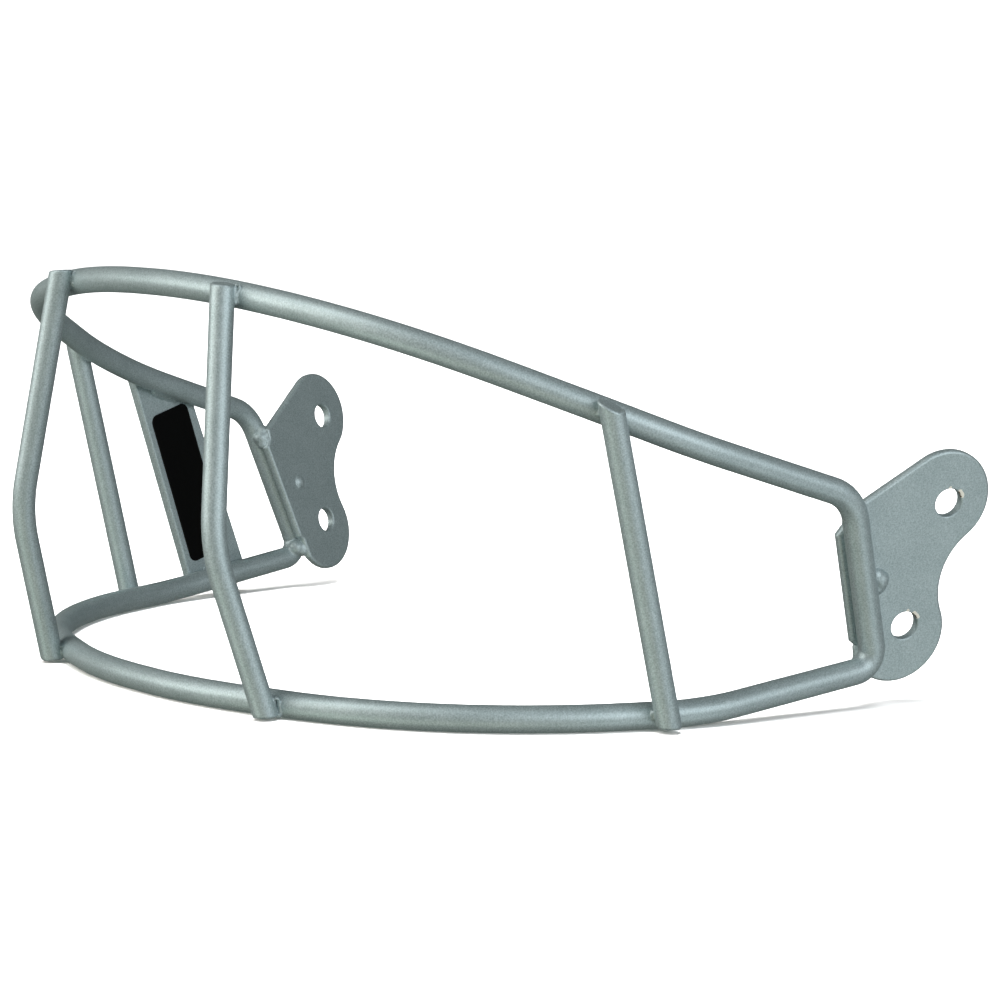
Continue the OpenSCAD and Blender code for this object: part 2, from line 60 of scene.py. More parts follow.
def linkNew(name, data):
    thing = bpy.data.objects.new(name, data)
    bpy.context.scene.collection.objects.link(thing)
    return thing


def makeCamera(sizes):
    data = bpy.data.cameras.new("photoCamera")
    data.lens = sizes["lens"]
    data.clip_start, data.clip_end = 0.05, 20
    camera = linkNew("photoCamera", data)
    back = towards(sizes["azimuth"], sizes["elevation"])
    level = (-back).to_track_quat("-Z", "Y").to_matrix()
    turned = level @ Matrix.Rotation(math.radians(sizes["roll"]), 3, "Z")
    place = (Vector(sizes["aim"]) + back * sizes["distance"]) * mm
    camera.matrix_world = Matrix.Translation(place) @ turned.to_4x4()
    bpy.context.scene.camera = camera


makeCamera(cameraSizes)
print("camera placed")

# Node trees and colours


def linear(hexColour):
    channels = [int(hexColour[i:i + 2], 16) / 255 for i in (1, 3, 5)]
    return [c / 12.92 if c <= 0.04045 else ((c + 0.055) / 1.055) ** 2.4 for c in channels] + [1]


def addNode(tree, kind, settings=None, **links):
    node = tree.nodes.new(kind)
    for key, value in (settings or {}).items():
        if isinstance(key, str) and key.startswith("."):
            setattr(node, key[1:], value)
        else:
            node.inputs[key].default_value = value
    for key, source in links.items():
        wanted = key.replace("_", " ")
        socket = next(s for s in node.inputs if s.name == wanted and s.enabled and not s.is_linked)
        tree.links.new(source, socket)
    return node


def newMaterial(name):
    material = bpy.data.materials.new(name)
    material.use_nodes = True
    material.node_tree.nodes.clear()
    return material, material.node_tree


# Silver powder coat: metal flake in a satin binder, baked on over steel.
# It gives a fine pale and dark grain, a wide soft highlight and a faint orange peel.
coatLook = {
    "flake": 0.32,            # mm, one flake cluster as wide as the render can show
    "cloud": 7.0,             # mm, slow drift of tone
    "peel": 0.9,              # mm, orange peel
    "dark": "#9AACAF",
    "pale": "#C1D1D4",
    "metallic": 0.6,
    "roughness": (0.46, 0.58),
    "contrast": (0.3, 0.7),   # part of the noise that is spread over the two colours
    "drift": 0.09,            # share of tone that the slow drift adds or takes
    "grainBump": 0.008,       # mm
    "peelBump": 0.012,        # mm
}
# At a screw hole's rim the coat gets a painted highlight in near-white cream, where its raised edge
# catches the light, and beside the hole bare steel gone brown. The edge is where the ragged grain turns
# from coat to the mark.
rustAndHighlightLook = {"paintedHighlight": "#F2F1E6", "rust": "#4E3A28", "grain": 0.7, "edge": (0.17, 0.21)}


def noiseOf(tree, place, size, detail):
    return addNode(tree, "ShaderNodeTexNoise", {"Scale": 1 / (size * mm), "Detail": detail},
                   Vector=place).outputs["Fac"]


def spread(tree, value, low, high, toLow=0, toHigh=1):
    return addNode(tree, "ShaderNodeMapRange", {"From Min": low, "From Max": high, "To Min": toLow,
                                                "To Max": toHigh}, Value=value).outputs[0]


def calculate(tree, operation, first, second):
    node = addNode(tree, "ShaderNodeMath", {".operation": operation})
    tree.links.new(first, node.inputs[0])
    if isinstance(second, (int, float)):
        node.inputs[1].default_value = second
    else:
        tree.links.new(second, node.inputs[1])
    return node.outputs[0]


# One end of a mix is a colour in hex, or both
def mixColour(tree, share, first, second):
    node = addNode(tree, "ShaderNodeMix", {".data_type": "RGBA"})
    tree.links.new(share, node.inputs[0])
    for socket, given in ((6, first), (7, second)):
        if isinstance(given, str):
            node.inputs[socket].default_value = linear(given)
        else:
            tree.links.new(given, node.inputs[socket])
    return node.outputs[2]


# Rim marks follow two attributes of a mesh: the first is a painted highlight in cream on the raised
# coat edge, "bare" is steel with its coat gone, rusted brown
def silverPowderCoat(name, look, rimMarks=None):
    material, tree = newMaterial(name)
    place = addNode(tree, "ShaderNodeTexCoord").outputs["Object"]
    flake = noiseOf(tree, place, look["flake"], 2.5)
    cloud = noiseOf(tree, place, look["cloud"], 3)
    peel = noiseOf(tree, place, look["peel"], 1)
    drift = spread(tree, cloud, *look["contrast"], -look["drift"], look["drift"])
    tone = calculate(tree, "ADD", spread(tree, flake, *look["contrast"]), drift)
    colour = mixColour(tree, tone, look["dark"], look["pale"])
    shine = None
    if rimMarks:
        ragged = noiseOf(tree, place, rimMarks["grain"], 2)
        # The first layer paints a highlight in cream, the second is rusty bare steel
        for layer, markColour in (("chipped", rimMarks["paintedHighlight"]), ("bare", rimMarks["rust"])):
            here = addNode(tree, "ShaderNodeAttribute", {".attribute_name": layer}).outputs["Fac"]
            markShare = spread(tree, calculate(tree, "MULTIPLY", here, ragged), *rimMarks["edge"])
            colour = mixColour(tree, markShare, colour, markColour)
            kept = spread(tree, markShare, 0, 1, 1, 0)
            shine = calculate(tree, "MULTIPLY", shine or kept, kept if shine else look["metallic"])
    rough = spread(tree, flake, *look["contrast"], *look["roughness"])
    grainBump = addNode(tree, "ShaderNodeBump", {"Strength": 1, "Distance": look["grainBump"] * mm},
                        Height=flake)
    peelBump = addNode(tree, "ShaderNodeBump", {"Strength": 1, "Distance": look["peelBump"] * mm},
                       Height=peel, Normal=grainBump.outputs[0])
    shader = addNode(tree, "ShaderNodeBsdfPrincipled", {"Metallic": look["metallic"]}, Base_Color=colour,
                     Roughness=rough, Normal=peelBump.outputs[0])
    if shine:
        tree.links.new(shine, shader.inputs["Metallic"])
    addNode(tree, "ShaderNodeOutputMaterial", Surface=shader.outputs[0])
    return material


# Black vinyl label: printed film with a low satin gloss and a little dust.
labelLook = {
    "grain": 0.25,            # mm
    "black": "#020202",
    "dust": "#080809",
    "roughness": (0.34, 0.5),
    "ior": 1.48,
    "specular": 0.12,
    "bump": 0.004,            # mm
}


def blackVinyl(name, look):
    material, tree = newMaterial(name)
    place = addNode(tree, "ShaderNodeTexCoord").outputs["Object"]
    grain = noiseOf(tree, place, look["grain"], 3)
    colour = mixColour(tree, spread(tree, grain, 0.5, 0.8), look["black"], look["dust"])
    bump = addNode(tree, "ShaderNodeBump", {"Strength": 1, "Distance": look["bump"] * mm}, Height=grain)
    shader = addNode(tree, "ShaderNodeBsdfPrincipled",
                     {"IOR": look["ior"], "Specular IOR Level": look["specular"]}, Base_Color=colour,
                     Roughness=spread(tree, grain, 0, 1, *look["roughness"]), Normal=bump.outputs[0])
    addNode(tree, "ShaderNodeOutputMaterial", Surface=shader.outputs[0])
    return material


silverCoat = silverPowderCoat("silverPowderCoat", coatLook)
weldCoat = silverPowderCoat("silverPowderCoatOverWeld", {**coatLook, "peel": 0.7, "peelBump": 0.02})
# Coat with rusty bare steel at the hole rims and a painted highlight on the raised coat edge beside it
rustAndHighlightCoat = silverPowderCoat("silverPowderCoatWithRustAndPaintedHighlight", coatLook, rustAndHighlightLook)
vinyl = blackVinyl("blackVinylLabel", labelLook)
print("materials made")

# The two loop wires: corner points of the left half in mm, each with the radius of its bend
wireSizes = {
    "loopRadius": 2.75,
    "barRadius": 2.5,
    "weldSink": 0.6,          # how far a bar is sunk into the wire it crosses
    "step": 0.6,              # rings along a wire
    "sides": 44,
    "wobble": 0.025,          # how far the coat's thickness wanders
    "wobbleLength": 5.0,
}
lowerHeight = wireSizes["loopRadius"]
lowerBends = {
    "chin": (17.4, -62.6, lowerHeight, 94),
    "cheek": (68.3, -45.9, lowerHeight, 76.5),
    "side": (87.2, -14.9, lowerHeight, 78),
    "rear": (95.7, 7.2, lowerHeight, 65),
    "corner": (100.7, 51.2, 8.2, 4.2),
}
upperBends = {
    "brow": (27.5, -61.5, 85.2, 134),
    "cheek": (70.2, -46.8, 76.9, 61.5),
    "side": (91.8, -17.1, 63.7, 78),
    "rear": (98.9, 0.5, 56.7, 98),
    "corner": (105.5, 38.1, 44.9, 9.9),
}


def point(bend):
    return Vector(bend[:3])


# The arc that rounds a corner between two straights, in as many steps as its turn asks for
def cornerArc(before, here, after, radius, stepsOf):
    into, out = (here - before).normalized(), (after - here).normalized()
    turn = into.angle(out)
    setback = radius * math.tan(turn / 2)
    centre = here + (out - into).normalized() * radius / math.cos(turn / 2)
    spoke = (here - into * setback - centre).normalized()
    steps = max(3, math.ceil(stepsOf(turn)))
    angles = [turn * k / steps for k in range(steps + 1)]
    return [centre + (spoke * math.cos(a) + into * math.sin(a)) * radius for a in angles]


# Corners joined by straights, with a bend of its own radius at each inner corner
def roundedPath(corners, radii, step):
    path = [corners[0]]
    for before, here, after, radius in zip(corners, corners[1:], corners[2:], radii[1:]):
        path += cornerArc(before, here, after, radius, lambda turn: radius * turn / step)
    path.append(corners[-1])
    return path


def mirrored(path):
    return [Vector((-p.x, p.y, p.z)) for p in path]


# Point and direction at a distance along a path
def onPath(path, reach):
    for a, b in zip(path, path[1:]):
        span = (b - a).length
        if reach <= span:
            return a + (b - a) * (reach / span), (b - a).normalized()
        reach -= span
    return path[-1], (path[-1] - path[-2]).normalized()


def stretch(path, start, end, step=0.6):
    count = max(2, math.ceil((end - start) / step))
    return [onPath(path, start + (end - start) * k / count)[0] for k in range(count + 1)]


def pathLength(path):
    return sum((b - a).length for a, b in zip(path, path[1:]))


returnUp = (point(upperBends["corner"]) - point(lowerBends["corner"])).normalized()
lowCorner = point(lowerBends["corner"])
cornerInto = (lowCorner - point(lowerBends["rear"])).normalized()
cornerJoint = lowCorner + returnUp * lowerBends["corner"][3] * math.tan(cornerInto.angle(returnUp) / 2)


def halfPath(bends, last):
    first = point(next(iter(bends.values())))
    corners = [Vector((0, first.y, first.z))] + [point(b) for b in bends.values()] + [last]
    radii = [0] + [b[3] for b in bends.values()] + [0]
    return roundedPath(corners, radii, wireSizes["step"])


upperHalf = halfPath(upperBends, cornerJoint)
lowerHalf = halfPath(lowerBends, cornerJoint)


# Distance along a half wire from the middle to the start of its last bend
def cornerReach(half, bends, into, out):
    bend = bends["corner"]
    turn = into.angle(out)
    tail = (cornerJoint - point(bend)).length - bend[3] * math.tan(turn / 2)
    return pathLength(half) - max(0, tail) - bend[3] * turn


upperInto = (point(upperBends["corner"]) - point(upperBends["rear"])).normalized()
upperCorner = cornerReach(upperHalf, upperBends, upperInto, -returnUp)
lowerCorner = cornerReach(lowerHalf, lowerBends, cornerInto, returnUp)


# A sweep along a line of edges: rings at an even step, a little wander in the coat, smooth shading
def wireTree():
    tree = bpy.data.node_groups.new("coatedWire", "GeometryNodeTree")
    tree.interface.new_socket("Geometry", in_out="OUTPUT", socket_type="NodeSocketGeometry")
    tree.interface.new_socket("Geometry", in_out="INPUT", socket_type="NodeSocketGeometry")
    for name, kind in (("Radius", "Float"), ("Step", "Float"), ("Sides", "Int"), ("Wobble", "Float"),
                       ("Wobble Scale", "Float"), ("Material", "Material")):
        tree.interface.new_socket(name, in_out="INPUT", socket_type="NodeSocket" + kind)
    given = addNode(tree, "NodeGroupInput").outputs
    line = addNode(tree, "GeometryNodeMeshToCurve", Mesh=given["Geometry"]).outputs[0]
    even = addNode(tree, "GeometryNodeResampleCurve", {".mode": "LENGTH"}, Curve=line,
                   Length=given["Step"]).outputs[0]
    ring = addNode(tree, "GeometryNodeCurvePrimitiveCircle", {".mode": "RADIUS"},
                   Resolution=given["Sides"], Radius=given["Radius"]).outputs[0]
    swept = addNode(tree, "GeometryNodeCurveToMesh", {"Fill Caps": True}, Curve=even,
                    Profile_Curve=ring).outputs[0]
    wander = addNode(tree, "ShaderNodeTexNoise", {"Detail": 2},
                     Scale=given["Wobble Scale"]).outputs["Fac"]
    signed = addNode(tree, "ShaderNodeMath", {".operation": "SUBTRACT", 1: 0.5})
    tree.links.new(wander, signed.inputs[0])
    depth = addNode(tree, "ShaderNodeMath", {".operation": "MULTIPLY"})
    tree.links.new(signed.outputs[0], depth.inputs[0])
    tree.links.new(given["Wobble"], depth.inputs[1])
    normal = addNode(tree, "GeometryNodeInputNormal").outputs[0]
    push = addNode(tree, "ShaderNodeVectorMath", {".operation": "SCALE"}, Scale=depth.outputs[0])
    tree.links.new(normal, push.inputs[0])
    moved = addNode(tree, "GeometryNodeSetPosition", Geometry=swept, Offset=push.outputs[0]).outputs[0]
    smooth = addNode(tree, "GeometryNodeSetShadeSmooth", Geometry=moved).outputs[0]
    real = addNode(tree, "GeometryNodeRealizeInstances", Geometry=smooth).outputs[0]
    coated = addNode(tree, "GeometryNodeSetMaterial", Geometry=real,
                     Material=given["Material"]).outputs[0]
    addNode(tree, "NodeGroupOutput", Geometry=coated)
    return tree


coatedWire = wireTree()


# Shades a whole mesh smooth and writes it out
def settle(mesh, data):
    for f in mesh.faces:
        f.smooth = True
    mesh.to_mesh(data)
    mesh.free()


# The evaluated mesh of a piece with modifiers, which are then dropped
def plainMesh(piece):
    bpy.context.view_layer.update()
    graph = bpy.context.evaluated_depsgraph_get()
    mesh = bpy.data.meshes.new_from_object(piece.evaluated_get(graph))
    piece.modifiers.clear()
    old, piece.data = piece.data, mesh
    bpy.data.meshes.remove(old)
    mesh.name = piece.name
    return piece


def sweep(name, path, radius, sizes=wireSizes):
    mesh = bpy.data.meshes.new(name)
    mesh.from_pydata([p * mm for p in path], [(i, i + 1) for i in range(len(path) - 1)], [])
    piece = linkNew(name, mesh)
    modifier = piece.modifiers.new("wire", "NODES")
    modifier.node_group = coatedWire
    values = {"Radius": radius * mm, "Step": sizes["step"] * mm, "Sides": sizes["sides"],
              "Wobble": 2 * sizes["wobble"] * mm, "Wobble Scale": 1 / (sizes["wobbleLength"] * mm),
              "Material": silverCoat}
    for socket in coatedWire.interface.items_tree:
        if socket.name in values and socket.in_out == "INPUT":
            modifier[socket.identifier] = values[socket.name]
    return plainMesh(piece)


def hold(piece, slot, *nodes):
    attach(piece, body)
    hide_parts(*nodes)


upperWhole = mirrored(upperHalf[1:])[::-1] + upperHalf[1:]
lowerWhole = mirrored(lowerHalf[1:])[::-1] + lowerHalf[1:]
upperBar = sweep("upperBar", upperWhole, wireSizes["loopRadius"])
lowerBar = sweep("lowerBar", lowerWhole, wireSizes["loopRadius"])
hold(upperBar, "silver_coated_steel", "upper_bar")
hold(lowerBar, "silver_coated_steel", "lower_bar")
print("loop wires swept")

# The four upright bars, laid on the outside of the two wires and cut off slanting
barSizes = {
    "centreTopReach": 29.6,   # along the upper wire from the middle
    "centreFootReach": 39.6,
    "kink": (36.3, -69.7, 34.5),
    "kinkRadius": 34,
    "sideTopAhead": 53.9,     # along the wire ahead of its last bend
    "sideFootAhead": 48.7,
    "topDrop": 0.3,           # cut top below the top of the upper wire
    "sideTopTilt": 11,        # degrees that a side bar's cut top faces outwards
    "centreFootRise": 0.6,    # cut foot above the ground
    "sideFootRise": 0.9,
    "rim": 0.55,              # rounding of the cut ends under the coat
    "faceInsets": (0.5, 0.6),
    "dish": 0.12,
    "slantSpread": 7.0,       # length over which a cut's slant dies out
}


def outside(wire, start):
    across = wire[1].cross(wire[0] - start).normalized()
    outwards = Vector((wire[0].x, wire[0].y, 0))
    return across if across.dot(outwards) > 0 else -across


def laidOn(wire, start):
    offset = wireSizes["loopRadius"] + wireSizes["barRadius"] - wireSizes["weldSink"]
    first = wire[0] + outside(wire, start) * offset
    return wire[0] + outside((first, wire[1]), start) * offset


def squareTo(wire, along):
    return (along - wire[1] * along.dot(wire[1])).normalized()


def meets(start, through, onPlane, normal):
    far = start + (through - start).normalized() * 500
    return geometry.intersect_line_plane(start, far, onPlane, normal)


# The path of a bar, and the planes of its cut ends
def layBar(topReach, footReach, footRise, kink=None):
    topWire, footWire = onPath(upperHalf, topReach), onPath(lowerHalf, footReach)
    foot = laidOn(footWire, kink or topWire[0])
    top = laidOn(topWire, kink or foot)
    up = squareTo(topWire, top - foot)
    cut = topWire[0] + up * (wireSizes["loopRadius"] - barSizes["topDrop"])
    start = meets(kink or foot, top, cut, up)
    end = meets(kink or top, foot, Vector((0, 0, footRise)), Vector((0, 0, 1)))
    if kink:
        path = roundedPath([start, kink, end], [0, barSizes["kinkRadius"], 0], wireSizes["step"])
    else:
        path = [start, end]
    return {"path": path, "topNormal": up, "footNormal": Vector((0, 0, -1)), "top": top, "foot": foot,
            "topWire": topWire}


centreBar = layBar(barSizes["centreTopReach"], barSizes["centreFootReach"], barSizes["centreFootRise"],
                   Vector(barSizes["kink"]))
sideTopReach = upperCorner - barSizes["sideTopAhead"]
sideFootReach = lowerCorner - barSizes["sideFootAhead"]
sideBar = layBar(sideTopReach, sideFootReach, barSizes["sideFootRise"])

# A side bar's cut top is tilted outwards about its inner edge, so its middle comes down
sideTilt = math.tan(math.radians(barSizes["sideTopTilt"]))
sideDownwards = (sideBar["foot"] - sideBar["top"]).normalized()
sideBar["topNormal"] += outside(sideBar["topWire"], sideBar["foot"]) * sideTilt
sideBar["topNormal"].normalize()
sideBar["path"][0] += sideDownwards * wireSizes["barRadius"] * sideTilt


def flip(v):
    return Vector((-v.x, v.y, v.z))


def capsOf(mesh):
    return [f for f in mesh.faces if len(f.verts) > 4]


# Rounds the rim of each cut end, dishes its face and slants it to the cut
def finishEnds(piece, path, normals):
    mesh = bmesh.new()
    mesh.from_mesh(piece.data)
    rims = list({e for f in capsOf(mesh) for e in f.edges})
    bmesh.ops.bevel(mesh, geom=rims, offset=barSizes["rim"] * mm, segments=4, profile=0.5, affect="EDGES",
                    clamp_overlap=False)
    for thickness, depth in zip(barSizes["faceInsets"], (0, -barSizes["dish"] / 2)):
        bmesh.ops.inset_region(mesh, faces=capsOf(mesh), thickness=thickness * mm, depth=depth * mm)
    bmesh.ops.poke(mesh, faces=capsOf(mesh), offset=-barSizes["dish"] / 2 * mm)
    for end, inner, normal in ((path[0], path[1], normals[0]), (path[-1], path[-2], normals[1])):
        axis = (end - inner).normalized()
        for v in mesh.verts:
            fromEnd = v.co / mm - end
            back = -fromEnd.dot(axis)
            if back > barSizes["slantSpread"] or fromEnd.length > 2 * barSizes["slantSpread"]:
                continue
            spoke = fromEnd + axis * back
            share = max(0, 1 - max(0, back - 1) / barSizes["slantSpread"])
            share = share * share * (3 - 2 * share)
            v.co -= axis * (spoke.dot(normal) / axis.dot(normal)) * share * mm
    settle(mesh, piece.data)


def makeBar(name, node, bar, right):
    turned = flip if right else Vector
    path = [turned(p) for p in bar["path"]]
    piece = sweep(name, path, wireSizes["barRadius"])
    finishEnds(piece, path, [turned(bar["topNormal"]), turned(bar["footNormal"])])
    hold(piece, "silver_coated_steel", node)


makeBar("leftCentreBar", "left_centre_bar", centreBar, False)
makeBar("rightCentreBar", "right_centre_bar", centreBar, True)
makeBar("leftSideBar", "left_side_bar", sideBar, False)
makeBar("rightSideBar", "right_side_bar", sideBar, True)
print("upright bars laid")

# Ear plates: stamped plate with two lobes. Their frame has x to the back, y up the return and z outwards
plateSizes = {
    "thickness": 2.1,
    "sink": 0.05,
    "turn": 19.9,
    "holeRadius": 3.0,
    "holePitch": 27.5,
    "upperHole": (22.7, -10),
    "holeTilt": 29,
    "upperLobe": 10.6,
    "lowerLobe": 10.8,
    "waist": 14,
    "upperLobeShift": (-0.8, 1),
    "lowerLobeShift": (-1.7, -1.4),
    "tabFront": 3.1,
    "tabTop": (-0.7, -5),
    "tabCorner": 4.0,
    "cornerCut": (1.9, 1.6),
    "footCut": (0.9, 1.2),
    "footCutTop": -33.7,
    "rim": 0.75,
    "holeRim": 0.4,
    # Rim marks: a painted highlight in cream where the raised coat edge catches the light, and rusty bare
    # steel
    "rimMarks": [                # of the left plate: hole, degrees round it, spread, width in mm
        (0, 20, 14, 0.75),
        (0, 77, 5, 0.6),
        (1, 28, 14, 0.8),
        (1, 70, 5, 0.65),
    ],
    "markStep": 4,            # degrees between the marks of a chip
    "highlightBeyond": 0.35,       # mm outside the hole's wall
    "bareBeyond": -0.2,
    "bareWidth": 0.6,         # mm, bare steel along the hole's side of a chip
}


def arc(centre, radius, start, end, step=3.0):
    count = max(2, math.ceil(abs(end - start) / step))
    angles = [math.radians(start + (end - start) * k / count) for k in range(count + 1)]
    return [centre + Vector((math.cos(a), math.sin(a))) * radius for a in angles]


def heading(v):
    return math.degrees(math.atan2(v.y, v.x))


def plateOutline(s):
    tilt = math.radians(s["holeTilt"])
    upperHole = Vector(s["upperHole"])
    lowerHole = upperHole - Vector((math.sin(tilt), math.cos(tilt))) * s["holePitch"]
    upper, lower = upperHole + Vector(s["upperLobeShift"]), lowerHole + Vector(s["lowerLobeShift"])
    gap = (upper - lower).length
    reachUpper, reachLower = s["upperLobe"] + s["waist"], s["lowerLobe"] + s["waist"]
    along = (gap ** 2 + reachUpper ** 2 - reachLower ** 2) / (2 * gap)
    line = (lower - upper) / gap
    waist = upper + line * along + Vector((-line.y, line.x)) * math.sqrt(reachUpper ** 2 - along ** 2)
    tabTop = Vector(s["tabTop"])
    toTab = tabTop - upper
    start = heading(toTab) - math.degrees(math.acos(s["upperLobe"] / toTab.length))
    upperEnd = heading(waist - upper)
    lowerStart = heading(waist - lower)
    footX = -s["tabFront"] + s["footCut"][0]
    lowerEnd = math.degrees(math.acos(min(1, (lower.x - footX) / s["lowerLobe"]))) - 180
    frontFoot = Vector((-s["tabFront"], s["footCutTop"]))
    frontTop = Vector((-s["tabFront"], tabTop.y - s["tabCorner"]))
    outline = (arc(upper, s["upperLobe"], start, upperEnd)
               + arc(waist, s["waist"], upperEnd + 180, lowerStart + 180)
               + arc(lower, s["lowerLobe"], lowerStart, lowerEnd)
               + [Vector((footX, frontFoot.y - s["footCut"][1])), frontFoot]
               + [frontTop, frontTop + Vector(s["cornerCut"]), tabTop])
    holes = [arc(h, s["holeRadius"], 0, 360)[:-1] for h in (upperHole, lowerHole)]
    return outline, holes, (upperHole, lowerHole)


# Drops doubled points and fills long straights with even ones
def tidyLoop(loop, spacing=0.5):
    clean = [p for p, q in zip(loop, loop[1:] + loop[:1]) if (p - q).length > 0.05]
    filled = []
    for p, q in zip(clean, clean[1:] + clean[:1]):
        count = max(1, round((q - p).length / spacing))
        filled += [p + (q - p) * k / count for k in range(count)]
    return filled


def areaOf(loop):
    return sum(p.x * q.y - q.x * p.y for p, q in zip(loop, loop[1:] + loop[:1])) / 2


# Each point moved to the left of the way the loop runs
def inset(loop, amount):
    count = len(loop)
    moved = []
    for i, p in enumerate(loop):
        run = (loop[(i + 1) % count] - loop[i - 1]).normalized()
        moved.append(p + Vector((-run.y, run.x)) * amount)
    return moved


# A plate between two heights with rounded edges and holes. Its place is given by a frame, and its
# rim marks (rusty bare steel and painted highlights) by layer, centre and radius in the plate's own
# plane, at the upper face.
def roundedSlab(name, outline, holes, low, high, rim, holeRim, place, material, segments=6, rimMarks=()):
    mesh = bmesh.new()
    layers = {layer: mesh.verts.layers.float.new(layer) for layer in sorted({rimEntry[0] for rimEntry in rimMarks})}
    loops = []
    for loop, rounding, hole in [(outline, rim, False)] + [(h, holeRim, True) for h in holes]:
        loop = tidyLoop(loop, 0.2 if hole and rimMarks else 0.5)
        if (areaOf(loop) < 0) != hole:
            loop.reverse()
        quarter = [(rounding * (1 - math.cos(a)), rounding * (1 - math.sin(a)))
                   for a in (math.pi / 2 * k / segments for k in range(segments + 1))]
        margin = [(rounding + extra, 0) for extra in (0.25, 0.5, 0.8, 1.2)] if hole and rimMarks else []
        rows = []
        for side, level in ((-1, low), (1, high)):
            steps = quarter + margin if side > 0 else (quarter + margin)[::-1]
            for across, down in steps:
                ring = []
                for p in inset(loop, across):
                    z = level - side * down
                    v = mesh.verts.new((place @ Vector((p.x, p.y, z))) * mm)
                    for layer, centre, radius in rimMarks:
                        away = (Vector((p.x, p.y, (high - z) * 0.8)) - centre.to_3d()).length / radius
                        v[layers[layer]] = max(v[layers[layer]], 1 - away)
                    ring.append(v)
                rows.append(ring)
        for a, b in zip(rows, rows[1:]):
            for i in range(len(a)):
                j = (i + 1) % len(a)
                face = mesh.faces.new((a[i], a[j], b[j], b[i]))
                face.smooth = True
        last = margin[-1][0] if margin else rounding
        loops.append((inset(loop, last), rows[0], rows[-1]))
    flat = [[Vector((p.x, p.y, 0)) for p in ring] for ring, _, _ in loops]
    for pick in (1, 2):
        verts = [v for entry in loops for v in entry[pick]]
        for triangle in geometry.tessellate_polygon(flat):
            mesh.faces.new([verts[i] for i in triangle])
    bmesh.ops.remove_doubles(mesh, verts=mesh.verts, dist=1e-7)
    bmesh.ops.recalc_face_normals(mesh, faces=mesh.faces)
    data = bpy.data.meshes.new(name)
    mesh.to_mesh(data)
    mesh.free()
    data.materials.append(material)
    return linkNew(name, data)


def frameOf(origin, out, back):
    z = out.normalized()
    x = (back - z * back.dot(z)).normalized()
    y = z.cross(x)
    turn = Matrix((x, y, z)).transposed()
    return Matrix.Translation(origin) @ turn.to_4x4()


mirrorX = Matrix.Scale(-1, 4, (1, 0, 0))
plateSideways = (Vector((1, 0, 0)) - returnUp * returnUp.x).normalized()
plateTurn = math.radians(plateSizes["turn"])
plateOut = plateSideways * math.cos(plateTurn) - returnUp.cross(plateSideways) * math.sin(plateTurn)
plateBack = returnUp.cross(plateOut)
plateOrigin = point(upperBends["corner"]) - plateOut * (
    wireSizes["loopRadius"] + plateSizes["thickness"] - plateSizes["sink"])
leftPlateFrame = frameOf(plateOrigin, plateOut, plateBack)
plateEdge, plateHoles, holeCentres = plateOutline(plateSizes)
# Left plate's rim marks: points of painted highlight outside each hole's wall, and of rusty bare steel at
# it
plateRimMarks = []
for hole, angle, around, width in plateSizes["rimMarks"]:
    count = max(1, round(around / plateSizes["markStep"]))
    for k in range(count):
        a = math.radians(angle + around * ((k + 0.5) / count - 0.5) * 2)
        spoke = Vector((math.cos(a), math.sin(a)))
        for layer, beyond, size in (("chipped", plateSizes["highlightBeyond"], width),
                                    ("bare", plateSizes["bareBeyond"], plateSizes["bareWidth"])):
            reach = plateSizes["holeRadius"] + beyond
            plateRimMarks.append((layer, holeCentres[hole] + spoke * reach, size))
for name, node, place, coat, rimMarks in (
        ("leftEarPlate", "left_ear_plate", leftPlateFrame, rustAndHighlightCoat, plateRimMarks),
        ("rightEarPlate", "right_ear_plate", mirrorX @ leftPlateFrame, silverCoat, ())):
    plate = roundedSlab(name, plateEdge, plateHoles, 0, plateSizes["thickness"], plateSizes["rim"],
                        plateSizes["holeRim"], place, coat, rimMarks=rimMarks)
    hold(plate, "silver_coated_steel", node)
print("ear plates cut")

# Label plate and its bare label, on the right side: x to the back, y up the plate and z outwards
labelSizes = {
    "topAhead": 22.8,         # along each wire ahead of its last bend
    "footAhead": 20.5,
    "front": 9.3,
    "topWidth": 16.8,
    "footWidth": 19,
    "thickness": 2.5,
    "overrun": 1.5,
    "sink": 0.3,
    "corner": 0.6,
    "rim": 0.5,
    "labelWidth": 12.4,
    "labelThickness": 0.3,
    "labelCorner": 2,
    "labelMargin": 1.9,
    "labelRise": 6.1,
    "labelDrop": 2.4,
    "labelRim": 0.1,
}
labelTopReach = upperCorner - labelSizes["topAhead"]
labelFootReach = lowerCorner - labelSizes["footAhead"]
labelTopWire = onPath(upperHalf, labelTopReach)
labelFootWire = onPath(lowerHalf, labelFootReach)
labelLine = labelTopWire[0] - labelFootWire[0]
labelOut = labelLine.cross(-(labelTopWire[1] + labelFootWire[1])).normalized()
labelUp = labelLine.normalized()
labelBack = labelUp.cross(labelOut)
labelOrigin = labelFootWire[0] + labelOut * (wireSizes["loopRadius"] - labelSizes["sink"])
labelFrame = mirrorX @ frameOf(labelOrigin, labelOut, labelBack)


def slope(wire):
    return wire[1].dot(labelUp) / wire[1].dot(labelBack)


# A closed outline with an arc at each corner
def roundedOutline(corners, radii):
    outline = []
    for before, here, after, radius in zip(corners[-1:] + corners, corners, corners[1:] + corners, radii):
        outline += cornerArc(before, here, after, radius, lambda turn: math.degrees(turn) / 8)
    return outline


